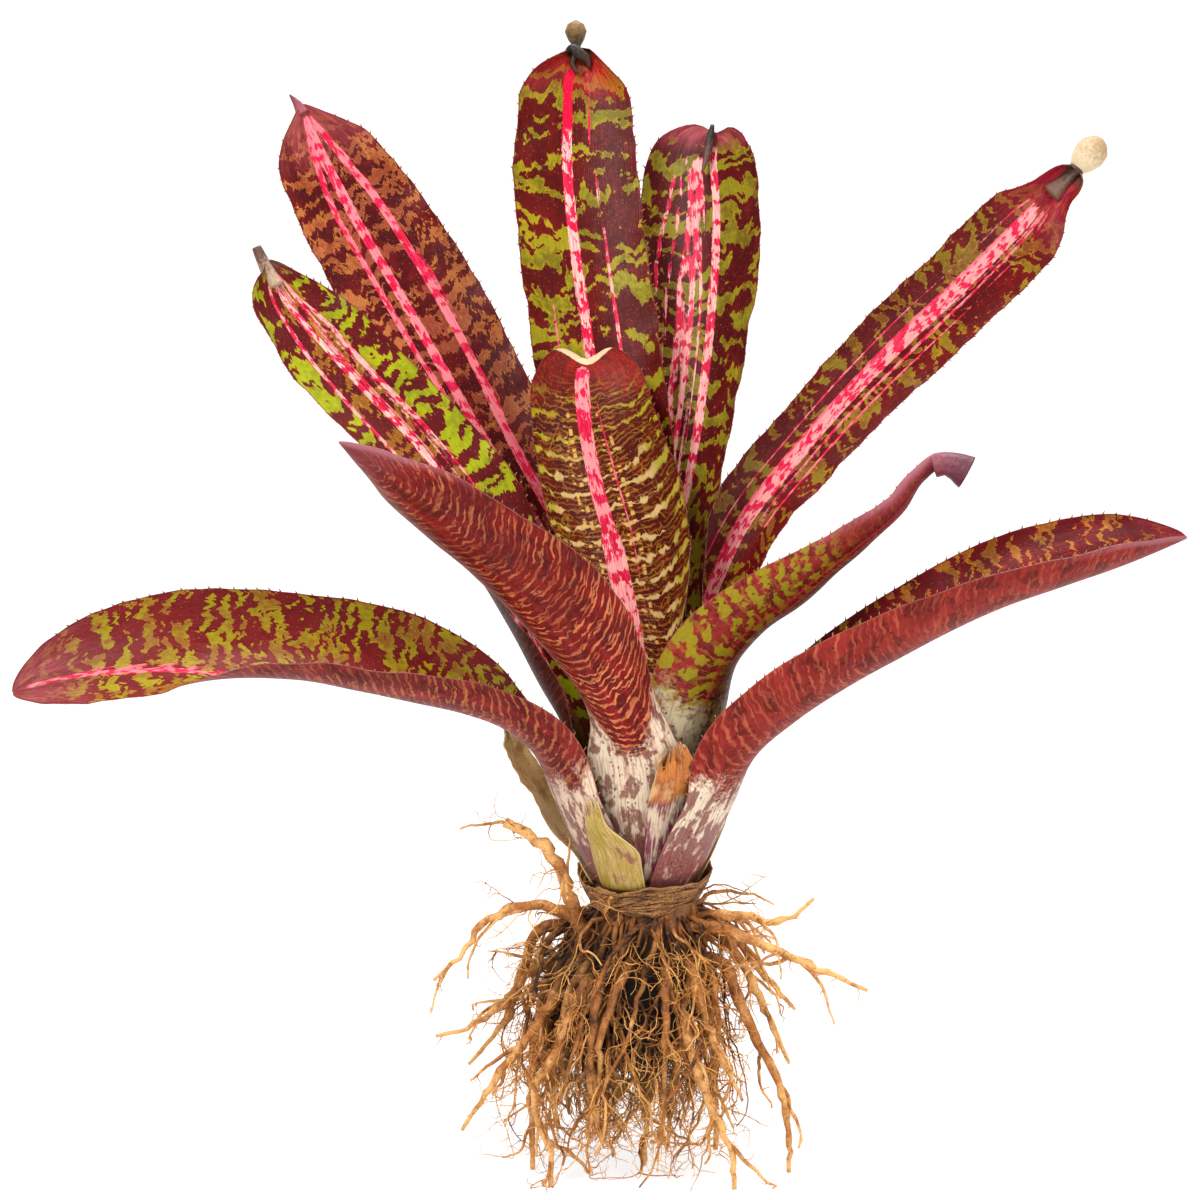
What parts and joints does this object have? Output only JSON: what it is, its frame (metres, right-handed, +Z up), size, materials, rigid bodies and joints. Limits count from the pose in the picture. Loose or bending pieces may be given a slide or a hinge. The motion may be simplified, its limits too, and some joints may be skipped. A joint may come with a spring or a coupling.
{
  "type": "neoregelia bromeliad",
  "caption": "Bare-root neoregelia bromeliad with red and lime banded strap leaves, pale bases and a ball of tan roots, standing upright.",
  "frame": {"origin": "end of the middle root, on the surface that the plant stands on, under the stem", "axes": "+Z up along the stem, -Y towards the viewer of the picture, +X to the viewer's right"},
  "size_m": [0.3985, 0.2651, 0.4057],
  "materials": {
    "leaf": "satin",
    "husk": "matte",
    "root": "matte"
  },
  "bodies": {
    "root": {"collar_husk": "husk", "dry_husk_left": "husk", "dry_husk_right": "husk", "dry_sheath_torn": "husk", "leaf_back_left": "leaf", "leaf_back_right": "leaf", "leaf_centre_back": "leaf", "leaf_front_left": "leaf", "leaf_heart": "leaf", "leaf_left_low": "leaf", "leaf_left_upper": "leaf", "leaf_rear_low": "leaf", "leaf_rear_mid": "leaf", "leaf_right_low": "leaf", "leaf_right_mid": "leaf", "leaf_right_upper": "leaf", "leaf_stub": "leaf", "rootstock": "root"}
  },
  "joints": []
}
